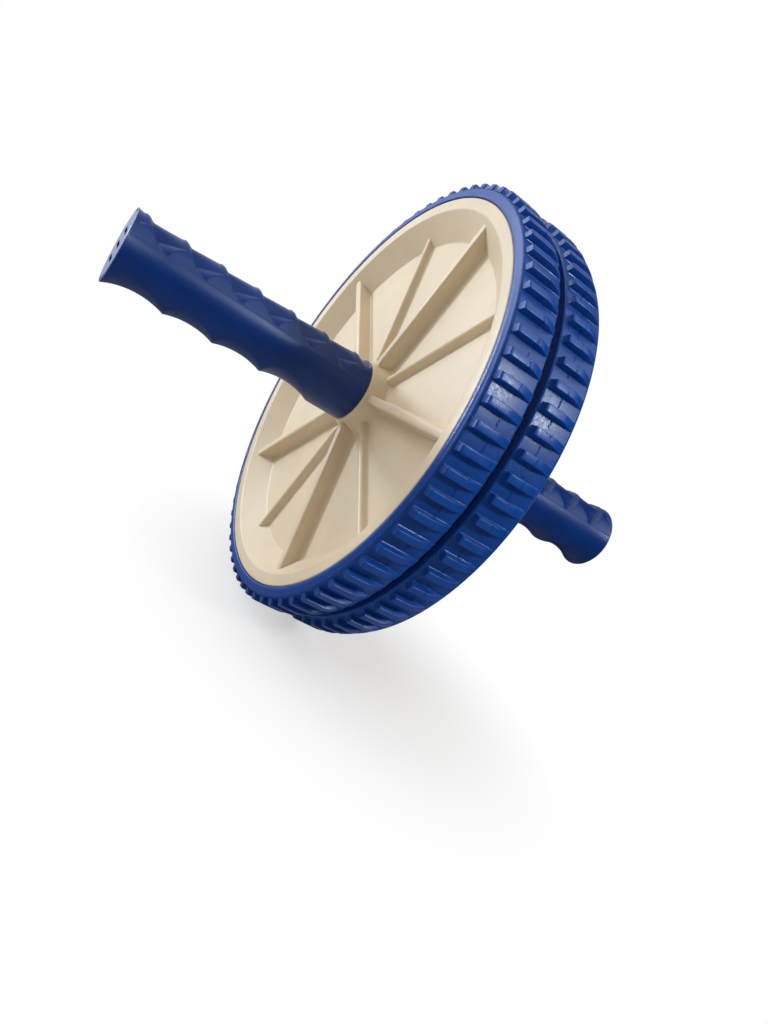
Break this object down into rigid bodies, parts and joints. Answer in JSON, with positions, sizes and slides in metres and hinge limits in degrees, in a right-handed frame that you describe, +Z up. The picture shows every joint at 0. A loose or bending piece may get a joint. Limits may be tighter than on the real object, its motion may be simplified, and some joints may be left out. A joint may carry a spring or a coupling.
{
  "type": "ab wheel roller",
  "caption": "Ab wheel roller with paired ribbed plastic wheels in lugged rubber tyres, turning freely on a fixed axle between moulded hand grips.",
  "frame": {"origin": "centre of the axle, midway between the two wheels; the tread's lowest point lies one wheel radius below it", "axes": "+X along the axle towards the right handle (the far handle of the picture), +Z up, +Y the rolling direction away from the picture's camera; finger scallops face down"},
  "size_m": [0.239, 0.18, 0.18],
  "materials": {
    "steel": "plain zinc-bright steel",
    "black_plastic": "black moulded nylon",
    "ivory_plastic": "semi-gloss ivory moulded plastic",
    "blue_tyre": "satin royal blue rubber",
    "blue_grip": "fine-grained matt blue soft plastic",
    "blue_cap": "satin blue moulded plastic"
  },
  "bodies": {
    "axle_and_handles": {"axle_rod": "steel", "centre_spacer": "black_plastic", "left_thrust_washer": "black_plastic", "right_thrust_washer": "black_plastic", "left_handle_core": "black_plastic", "left_grip": "blue_grip", "left_end_cap": "blue_cap", "right_handle_core": "black_plastic", "right_grip": "blue_grip", "right_end_cap": "blue_cap", "end_screws": "steel", "screw_washers": "steel"},
    "left_wheel_unit": {"left_wheel": "ivory_plastic", "left_tyre": "blue_tyre", "left_inner_bush": "black_plastic", "left_outer_bush": "black_plastic"},
    "right_wheel_unit": {"right_wheel": "ivory_plastic", "right_tyre": "blue_tyre", "right_inner_bush": "black_plastic", "right_outer_bush": "black_plastic"}
  },
  "joints": [
    {"name": "left_wheel_spin", "type": "hinge", "parent": "axle_and_handles", "child": "left_wheel_unit", "pos_m": [-0.00975, 0, 0], "axis": [1, 0, 0], "continuous": true},
    {"name": "right_wheel_spin", "type": "hinge", "parent": "axle_and_handles", "child": "right_wheel_unit", "pos_m": [0.00975, 0, 0], "axis": [1, 0, 0], "continuous": true}
  ]
}
